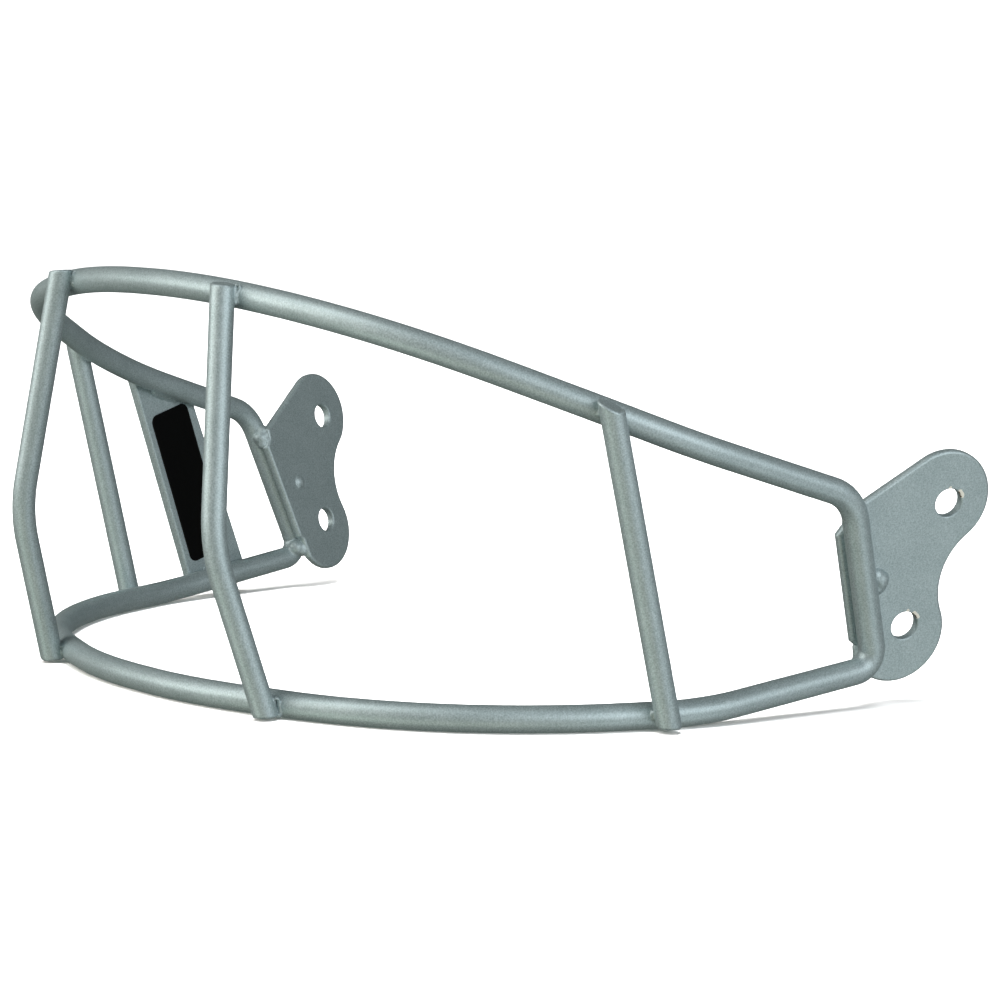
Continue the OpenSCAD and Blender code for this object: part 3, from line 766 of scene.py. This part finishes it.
def labelPlateOutline(s):
    top, foot = slope(labelTopWire), slope(labelFootWire)
    front, footRear, topRear = -s["front"], s["footWidth"] - s["front"], s["topWidth"] - s["front"]
    height = labelLine.length + s["overrun"]
    corners = [Vector((front, foot * front - s["overrun"])),
               Vector((footRear, foot * footRear - s["overrun"])),
               Vector((topRear, height + top * topRear)),
               Vector((front, height + top * front))]
    return roundedOutline(corners, [s["corner"]] * 4)


def labelOutline(s):
    front = s["labelMargin"] - s["front"]
    rear = front + s["labelWidth"]
    high = labelLine.length + slope(labelTopWire) * rear - s["labelDrop"]
    corners = [Vector((front, s["labelRise"])), Vector((rear, s["labelRise"])),
               Vector((rear, high)), Vector((front, high))]
    return roundedOutline(corners, [s["labelCorner"]] * 4)


labelPlate = roundedSlab("labelPlate", labelPlateOutline(labelSizes), [], 0, labelSizes["thickness"],
                         labelSizes["rim"], 0, labelFrame, silverCoat)
hold(labelPlate, "silver_coated_steel", "label_plate")
label = roundedSlab("label", labelOutline(labelSizes), [], -labelSizes["labelThickness"], 0.05,
                    labelSizes["labelRim"], 0, labelFrame, vinyl, segments=3)
hold(label, "black_label", "label")
print("label plate cut")

# Welds: each is a lump that wraps short lengths of the pieces it joins, remeshed and smoothed into one
# skin. Smoothing draws those lengths in a little, so that only the weld shows.
weldSizes = {
    "hair": 0.03,             # how far the wrapped lengths stay inside their pieces
    "plateInset": 0.3,
    "plateSink": 0.12,
    "voxel": 0.17,
    "stub": 5.0,              # wire wrapped to each side of a weld
    "endGap": 0.6,            # how far a bar's stub stays back from its cut end
    "lump": 0.08,             # unevenness of every weld
    "lumpLength": 1.8,
    "beadWander": 0.16,       # of a bead's balls, as shares of their radius
    "beadSwell": 0.1,
    "ballWander": 0.05,
    "cornerRing": 0.06,       # how far the butt weld stands over its wire
    "cornerHalf": 0.9,        # half its width
    "cornerSmoothing": 16,
}


def addTube(mesh, path, radius, sides=32):
    rings = []
    for i, p in enumerate(path):
        along = (path[min(i + 1, len(path) - 1)] - path[max(i - 1, 0)]).normalized()
        side = along.orthogonal() if i == 0 else side - along * side.dot(along)
        side.normalize()
        other = along.cross(side)
        ring = []
        for k in range(sides):
            a = 2 * math.pi * k / sides
            ring.append(mesh.verts.new((p + (side * math.cos(a) + other * math.sin(a)) * radius) * mm))
        rings.append(ring)
    for a, b in zip(rings, rings[1:]):
        for k in range(sides):
            j = (k + 1) % sides
            mesh.faces.new((a[k], a[j], b[j], b[k]))
    mesh.faces.new(rings[0][::-1])
    mesh.faces.new(rings[-1])


def addBall(mesh, centre, radius):
    bmesh.ops.create_icosphere(mesh, subdivisions=3, radius=radius * mm,
                               matrix=Matrix.Translation(centre * mm))


# A bead as a row of balls of slightly different sizes
def addBead(mesh, centre, along, length, radius, seed):
    count = max(2, round(length / radius * 2))
    for k in range(count + 1):
        share = k / count - 0.5
        wander = noise.noise_vector(Vector((seed * 3.1, k * 0.9, 0.3))) * radius * weldSizes["beadWander"]
        size = radius * (1 + weldSizes["beadSwell"] * noise.noise(Vector((seed * 1.7, k * 1.3, 5.1))))
        addBall(mesh, centre + along * length * share + wander, size)


# The part of an outline between two limits on each axis
def clipped(loop, low, high):
    for axis in (0, 1):
        for sign, limit in ((-1, low[axis]), (1, high[axis])):
            kept = []
            for p, q in zip(loop, loop[1:] + loop[:1]):
                inside = sign * (p[axis] - limit) <= 0
                if inside:
                    kept.append(p)
                if inside != (sign * (q[axis] - limit) <= 0):
                    kept.append(p + (q - p) * ((limit - p[axis]) / (q[axis] - p[axis])))
            loop = kept
    return loop


# A slab in a plate's own frame, its edge drawn in by a margin
def addSlab(mesh, frameMatrix, loop, low, high, margin=0):
    if areaOf(loop) < 0:
        loop = loop[::-1]
    loop = inset(loop, margin)
    rows = [[mesh.verts.new((frameMatrix @ Vector((p.x, p.y, level))) * mm) for p in loop]
            for level in (low, high)]
    for i in range(len(loop)):
        j = (i + 1) % len(loop)
        mesh.faces.new((rows[0][i], rows[0][j], rows[1][j], rows[1][i]))
    mesh.faces.new(rows[0][::-1])
    mesh.faces.new(rows[1])


# Pits are marks of a place, a radius and a depth in mm; a negative depth is a ridge
def weldSkin(name, node, mesh, smoothing, pits=(), right=False, s=weldSizes):
    if right:
        bmesh.ops.scale(mesh, vec=(-1, 1, 1), verts=mesh.verts)
        bmesh.ops.reverse_faces(mesh, faces=mesh.faces)
    data = bpy.data.meshes.new(name)
    mesh.to_mesh(data)
    mesh.free()
    piece = linkNew(name, data)
    remesh = piece.modifiers.new("skin", "REMESH")
    remesh.mode, remesh.voxel_size = "VOXEL", s["voxel"] * mm
    smooth = piece.modifiers.new("flow", "SMOOTH")
    smooth.factor, smooth.iterations = 0.5, smoothing
    plainMesh(piece)
    skin = bmesh.new()
    skin.from_mesh(piece.data)
    skin.normal_update()
    for v in skin.verts:
        push = s["lump"] * 0.5 * noise.noise(v.co / mm / s["lumpLength"])
        for centre, radius, depth in pits:
            near = (v.co / mm - (flip(centre) if right else centre)).length / radius
            if near < 1:
                push -= depth * (1 - near * near) ** 2
        v.co += v.normal * push * mm
    settle(skin, piece.data)
    piece.data.materials.clear()
    piece.data.materials.append(weldCoat)
    hold(piece, "coated_weld", node)


# Beads beside the bars: radius and length, distance of the bead's middle line from the bar's side and
# from the wire's axis, lift along the bar, passes of smoothing, and pits as (up, aside, radius, depth)
# on its face. A gap is how far the bar's stub stays back, where it isn't the usual one.
barBeads = {
    "rightCentreTop": {"radius": 0.5, "length": 2.6, "aside": -0.2, "out": 2.4, "lift": 0.1,
                       "smoothing": 6,
                       "pits": [(1.7, 0, 0.6, 1.5), (-1.7, 0.1, 0.55, 1.5), (1.2, 0.1, 0.4, 0.7),
                                (0.5, 0.6, 0.4, -0.15)]},
    "leftCentreTop": {"radius": 0.7, "length": 3.0, "aside": -0.45, "out": 2.75, "lift": 0.1,
                      "smoothing": 4,
                      "pits": [(1.5, 0.1, 0.5, 1.4), (0.9, 0.3, 0.4, 1.0), (0.4, 0.55, 0.4, 0.8),
                               (-0.2, 0.6, 0.4, 0.8), (-0.8, 0.6, 0.45, 0.8), (-1.4, 0.6, 0.5, 0.9),
                               (1.3, 0.6, 0.35, -0.4), (-0.6, 0, 0.5, -0.2)]},
    "sideTop": {"radius": 0.6, "length": 1.6, "aside": -0.2, "out": 2.4, "lift": 0.3, "smoothing": 24,
                "gap": 1.2, "pits": [(1.3, 0.3, 0.7, 1.1), (0.4, 0.4, 0.6, 0.5)]},
    "rightCentreFoot": {"radius": 0.4, "length": 2.0, "aside": -0.45, "out": 2.4, "lift": 0.2,
                        "smoothing": 12, "pits": [(0.9, 0.3, 0.6, 1.5), (-1.4, 0.1, 0.5, 1.2),
                                                (0.2, 0.3, 0.4, 0.5)]},
    "leftCentreFoot": {"radius": 0.75, "length": 3.2, "aside": -0.5, "out": 2.75, "lift": 0.4,
                       "smoothing": 4,
                       "pits": [(1.5, 0.1, 0.6, 1.5), (0.9, 0.1, 0.5, 1.4), (0.3, 0.15, 0.45, 1.2),
                                (-0.3, 0.2, 0.4, 1.0), (-0.9, 0.2, 0.35, 0.8), (1.2, 0.65, 0.4, -0.45),
                                (0.5, 0.65, 0.4, -0.4), (-0.2, 0.65, 0.35, -0.35)]},
    "sideFoot": {"radius": 0.5, "length": 1.4, "aside": -0.15, "out": 2.4, "lift": 0.4, "smoothing": 12,
                 "pits": [(0.3, 0.2, 0.5, -0.15)]},
}


# The bead beside a bar where it crosses a wire; side 1 is away from the middle
def barWeld(name, node, bead, half, reach, axisPoint, along, side, barPath, seed, right):
    wire = onPath(half, reach)
    mesh = bmesh.new()
    stub, hair, endGap = weldSizes["stub"], weldSizes["hair"], weldSizes["endGap"]
    addTube(mesh, stretch(half, reach - stub, reach + stub), wireSizes["loopRadius"] - hair)
    addTube(mesh, stretch(barPath, bead.get("gap", endGap), endGap + 2 * stub),
            wireSizes["barRadius"] - hair)
    outwards = (axisPoint - wire[0]).normalized()
    up = squareTo(wire, along)
    centre = (wire[0] + outwards * bead["out"]
              + wire[1] * side * (wireSizes["barRadius"] + bead["aside"]) + up * bead["lift"])
    addBead(mesh, centre, up, bead["length"], bead["radius"], seed)
    surface = centre + outwards * bead["radius"] * 0.75 + wire[1] * side * bead["radius"] * 0.5
    marks = [(surface + up * rise + wire[1] * side * away, radius, depth)
             for rise, away, radius, depth in bead["pits"]]
    weldSkin(name, node, mesh, bead["smoothing"], marks, right)


centreDown = centreBar["path"]
sideDown = sideBar["path"]
centreUp, sideUp = centreDown[::-1], sideDown[::-1]
centreAlong = centreBar["top"] - Vector(barSizes["kink"])
centreFootAlong = Vector(barSizes["kink"]) - centreBar["foot"]
sideAlong = sideBar["top"] - sideBar["foot"]
for prefix, right, centreSide in (("left", False, 1), ("right", True, -1)):
    barWeld(prefix + "CentreTopWeld", prefix + "_centre_top_weld", barBeads[prefix + "CentreTop"],
            upperHalf, barSizes["centreTopReach"], centreBar["top"], centreAlong, centreSide,
            centreDown, 1 + right, right)
    barWeld(prefix + "CentreFootWeld", prefix + "_centre_foot_weld", barBeads[prefix + "CentreFoot"],
            lowerHalf, barSizes["centreFootReach"], centreBar["foot"], centreFootAlong, centreSide,
            centreUp, 3 + right, right)
    barWeld(prefix + "SideTopWeld", prefix + "_side_top_weld", barBeads["sideTop"],
            upperHalf, sideTopReach, sideBar["top"], sideAlong, -1, sideDown, 5 + right, right)
    barWeld(prefix + "SideFootWeld", prefix + "_side_foot_weld", barBeads["sideFoot"],
            lowerHalf, sideFootReach, sideBar["foot"], sideAlong, -1, sideUp, 7 + right, right)
print("bar welds run")

# Welds of the ear plates: balls of molten metal as (back, up, out, radius) in the plate's frame, and
# pits as (back, up, out, radius, depth)
plateWelds = {
    "leftSpot": {"balls": [(4.3, -20.9, 1.5, 2.2), (4.8, -21.9, 1.4, 2.4), (4.4, -23.0, 1.3, 2.1)],
                 "smoothing": 24, "pits": [(3.4, -22.2, 4.0, 1.6, 0.3)]},
    "rightSpot": {"balls": [(3.4, -21.6, 3.2, 1.9), (4.3, -21.6, 1.6, 2.5)], "smoothing": 14},
    "leftTop": {"balls": [(0.5, -5, 1.3, 1.7)], "smoothing": 14},
    "rightTop": {"balls": [(-0.2, -5.5, 2.6, 1.9), (-1.4, -6.7, 2.6, 1.9), (-2.1, -8.2, 2.2, 1.25),
                           (-1.4, -7.4, 1.4, 1.05), (-0.8, -6.4, 1.4, 1.05)],
                 "smoothing": 40},
    "leftFoot": {"balls": [(-1.5, -35.6, 1.2, 1.2), (-1.5, -36.2, 1.3, 1.25), (-1.5, -36.8, 1.4, 1.3),
                           (-1.6, -37.4, 1.5, 1.35), (-1.7, -38.0, 1.5, 1.4), (-1.9, -38.5, 1.4, 1.3)],
                 "smoothing": 30,
                 "pits": [(-2.95, -36.5, 3.6, 0.3, -0.1), (-2.85, -36.2, 4.0, 0.3, -0.13),
                          (-2.75, -36.0, 4.4, 0.3, -0.15), (-2.7, -35.8, 4.8, 0.3, -0.15),
                          (-2.6, -35.65, 5.2, 0.3, -0.13), (-2.5, -35.6, 5.6, 0.3, -0.1),
                          (-2.35, -35.6, 6.0, 0.3, -0.07)]},
    "rightFoot": {"balls": [(-2.8, -36.6, 2.9, 2.0), (-1.4, -37.2, 2.1, 1.9), (-0.2, -38.2, 1.8, 1.7),
                            (-1.8, -37.8, 2.0, 1.7)],
                  "smoothing": 50},
}
upperRun = pathLength(upperHalf)
lowerRun = pathLength(lowerHalf)
cornerAt = upperRun - (point(upperBends["corner"]) - cornerJoint).length


# A weld between an ear plate and the return
def plateWeld(name, node, weld, seed, right):
    s = weldSizes
    back, up, out, size = weld["balls"][0]
    mesh = bmesh.new()
    drop = min(-up, (point(upperBends["corner"]) - cornerJoint).length)
    near = cornerAt + drop
    loop = wireSizes["loopRadius"] - s["hair"]
    addTube(mesh, stretch(upperHalf, near - s["stub"] - 1, min(near + s["stub"] + 1, upperRun)), loop)
    if near + s["stub"] > upperRun:
        addTube(mesh, stretch(lowerHalf, lowerRun - s["stub"] - 5, lowerRun), loop)
    edge = clipped(tidyLoop(plateEdge), (-5, up - 6), (back + 6, up + 6))
    addSlab(mesh, leftPlateFrame, edge, s["plateSink"], plateSizes["thickness"] - s["plateSink"],
            s["plateInset"])
    for k, (back, up, out, size) in enumerate(weld["balls"]):
        wander = noise.noise_vector(Vector((seed * 2.3, k * 1.1, 0.7))) * size * s["ballWander"]
        addBall(mesh, leftPlateFrame @ Vector((back, up, out)) + wander, size)
    marks = [(leftPlateFrame @ Vector(pit[:3]), *pit[3:]) for pit in weld.get("pits", ())]
    weldSkin(name, node, mesh, weld["smoothing"], marks, right)


# The butt weld of the two loop wires, a low ring round them
def cornerWeld(name, node, right):
    s = weldSizes
    mesh = bmesh.new()
    loop = wireSizes["loopRadius"]
    addTube(mesh, stretch(upperHalf, upperRun - s["stub"], upperRun), loop - s["hair"])
    addTube(mesh, stretch(lowerHalf, lowerRun - s["stub"], lowerRun), loop - s["hair"])
    half = returnUp * s["cornerHalf"]
    addTube(mesh, [cornerJoint - half, cornerJoint + half], loop + s["cornerRing"])
    weldSkin(name, node, mesh, s["cornerSmoothing"], (), right)


for prefix, right in (("left", False), ("right", True)):
    for number, spot in ((11, "Top"), (13, "Foot"), (15, "Spot")):
        plateWeld(prefix + "Plate" + spot + "Weld", prefix + "_plate_" + spot.lower() + "_weld",
                  plateWelds[prefix + spot], number + right, right)
    cornerWeld(prefix + "CornerWeld", prefix + "_corner_weld", right)


seamSizes = {
    "wrap": 7,                # wire wrapped to each side
    "slabHalf": 5,            # half the width of the plate that is wrapped
    "footSpan": (-2.5, 6),    # height of the wrapped plate, from the lower wire
    "topSpan": (-9, 0.5),     # from the upper wire
    "out": 0.86,              # place of the bead in wire radii
    "aside": 0.75,
    "length": 7,
    "radius": 1.2,
    "smoothing": 12,
}


# A seam of the label plate along a wire; up is 1 at its foot and -1 at its top
def labelSeam(name, node, half, reach, up, seed, s=seamSizes):
    wire = onPath(half, reach)
    loop, hair = wireSizes["loopRadius"], weldSizes["hair"]
    mesh = bmesh.new()
    addTube(mesh, stretch(half, reach - s["wrap"], reach + s["wrap"]), loop - hair)
    left = mirrorX @ labelFrame
    low, high = s["footSpan"] if up > 0 else [labelLine.length + limit for limit in s["topSpan"]]
    side = s["slabHalf"]
    edge = [Vector((-side, low)), Vector((side, low)), Vector((side, high)), Vector((-side, high))]
    addSlab(mesh, left, edge, hair, labelSizes["thickness"] - hair)
    centre = wire[0] + labelOut * loop * s["out"] + squareTo(wire, labelLine) * up * loop * s["aside"]
    addBead(mesh, centre, wire[1], s["length"], s["radius"], seed)
    weldSkin(name, node, mesh, s["smoothing"], (), True)


labelSeam("labelPlateTopWeld", "label_plate_top_weld", upperHalf, labelTopReach, -1, 21)
labelSeam("labelPlateFootWeld", "label_plate_foot_weld", lowerHalf, labelFootReach, 1, 22)
print("plate welds run")

# Studio: a round pale floor that curves up all round, with its own lamp, and soft boxes round the
# guard. The boxes below it stand for the light that a white table throws back up.
studioSizes = {
    "floorColours": ("#F4F4F4", "#FAFAFA"),
    "floorCloud": 6,          # clouds of tone to a metre
    "floorSides": 96,
    "ambient": 0.087,
    "ambientColour": "#F8FFF8",
    "sweepStart": 2.0,        # m from the middle
    "sweepRadius": 0.7,
    "sweepTop": 3.4,
    "aimHeight": 0.045,       # m, the middle of the guard
    "boxDistance": 1.0,
    "boxSize": 0.5,
    "boxes": [                # degrees right of the camera, elevation, power in W, colour
        (55, 15, 2.6, "#FCFDFF"),
        (30, 15, 1.95, "#FFFDFE"),
        (20, 50, 0.63, "#ECF9FF"),
        (-55, 15, 1.17, "#FFF2E7"),
        (-80, 15, 3.6, "#FFFBF5"),
        (-60, 50, 3.58, "#FFFBF7"),
        (-50, -35, 1.5, "#FBFFED"),
        (0, -35, 0.85, "#FFF7DC"),
        (50, -35, 1.2, "#FBFFFF"),
    ],
    "floorLampHeight": 3.0,
    "floorLampSize": 1.1,
    "floorPower": 900,
}


# Matt painted board, with a trace of unevenness in its tone
def paleFloor(s):
    material, tree = newMaterial("paleMattBoard")
    place = addNode(tree, "ShaderNodeTexCoord").outputs["Object"]
    cloud = addNode(tree, "ShaderNodeTexNoise", {"Scale": s["floorCloud"], "Detail": 2},
                    Vector=place).outputs["Fac"]
    shader = addNode(tree, "ShaderNodeBsdfDiffuse", Color=mixColour(tree, cloud, *s["floorColours"]))
    addNode(tree, "ShaderNodeOutputMaterial", Surface=shader.outputs[0])
    return material


def makeFloor(s):
    profile = [(s["sweepStart"] * k / 4, 0) for k in range(1, 5)]
    for k in range(1, 17):
        a = math.pi / 2 * k / 16
        reach = s["sweepStart"] + s["sweepRadius"] * math.sin(a)
        profile.append((reach, s["sweepRadius"] * (1 - math.cos(a))))
    profile.append((s["sweepStart"] + s["sweepRadius"], s["sweepTop"]))
    mesh = bmesh.new()
    sides = s["floorSides"]
    middle = mesh.verts.new((0, 0, 0))
    angles = [2 * math.pi * k / sides for k in range(sides)]
    rings = [[mesh.verts.new((reach * math.cos(a), reach * math.sin(a), height)) for a in angles]
             for reach, height in profile]
    for k in range(sides):
        j = (k + 1) % sides
        mesh.faces.new((middle, rings[0][k], rings[0][j]))
        for a, b in zip(rings, rings[1:]):
            mesh.faces.new((a[k], b[k], b[j], a[j]))
    data = bpy.data.meshes.new("floor")
    settle(mesh, data)
    data.materials.append(paleFloor(s))
    floor = linkNew("floor", data)
    floor.visible_glossy = False
    floor.visible_diffuse = False
    floor.visible_shadow = False
    return floor


def softBox(name, turn, elevation, power, colour, s=studioSizes):
    data = bpy.data.lights.new(name, "AREA")
    data.shape = "SQUARE"
    data.size = s["boxSize"]
    data.energy = power
    data.color = linear(colour)[:3]
    light = linkNew(name, data)
    direction = towards(cameraSizes["azimuth"] + turn, elevation)
    place = Vector((0, 0, s["aimHeight"])) + direction * s["boxDistance"]
    turned = (-direction).to_track_quat("-Z", "Y").to_matrix()
    light.matrix_world = Matrix.Translation(place) @ turned.to_4x4()
    light.visible_camera = False


def makeFloorLamp(floor, s):
    data = bpy.data.lights.new("floorLamp", "POINT")
    data.energy = s["floorPower"]
    data.shadow_soft_size = s["floorLampSize"]
    lamp = linkNew("floorLamp", data)
    lamp.location = (0, 0, s["floorLampHeight"])
    lamp.visible_camera = False
    onlyFloor = bpy.data.collections.new("litFloor")
    onlyFloor.objects.link(floor)
    lamp.light_linking.receiver_collection = onlyFloor


floor = makeFloor(studioSizes)
for number, box in enumerate(studioSizes["boxes"]):
    softBox("softBox%d" % number, *box)
makeFloorLamp(floor, studioSizes)

world = bpy.data.worlds.new("studio")
bpy.context.scene.world = world
world.use_nodes = True
world.node_tree.nodes.clear()
ambient = addNode(world.node_tree, "ShaderNodeBackground",
                  {"Color": linear(studioSizes["ambientColour"]), "Strength": studioSizes["ambient"]})
addNode(world.node_tree, "ShaderNodeOutputWorld", Surface=ambient.outputs[0])
bpy.context.scene.view_settings.view_transform = "Standard"
print("studio lit")
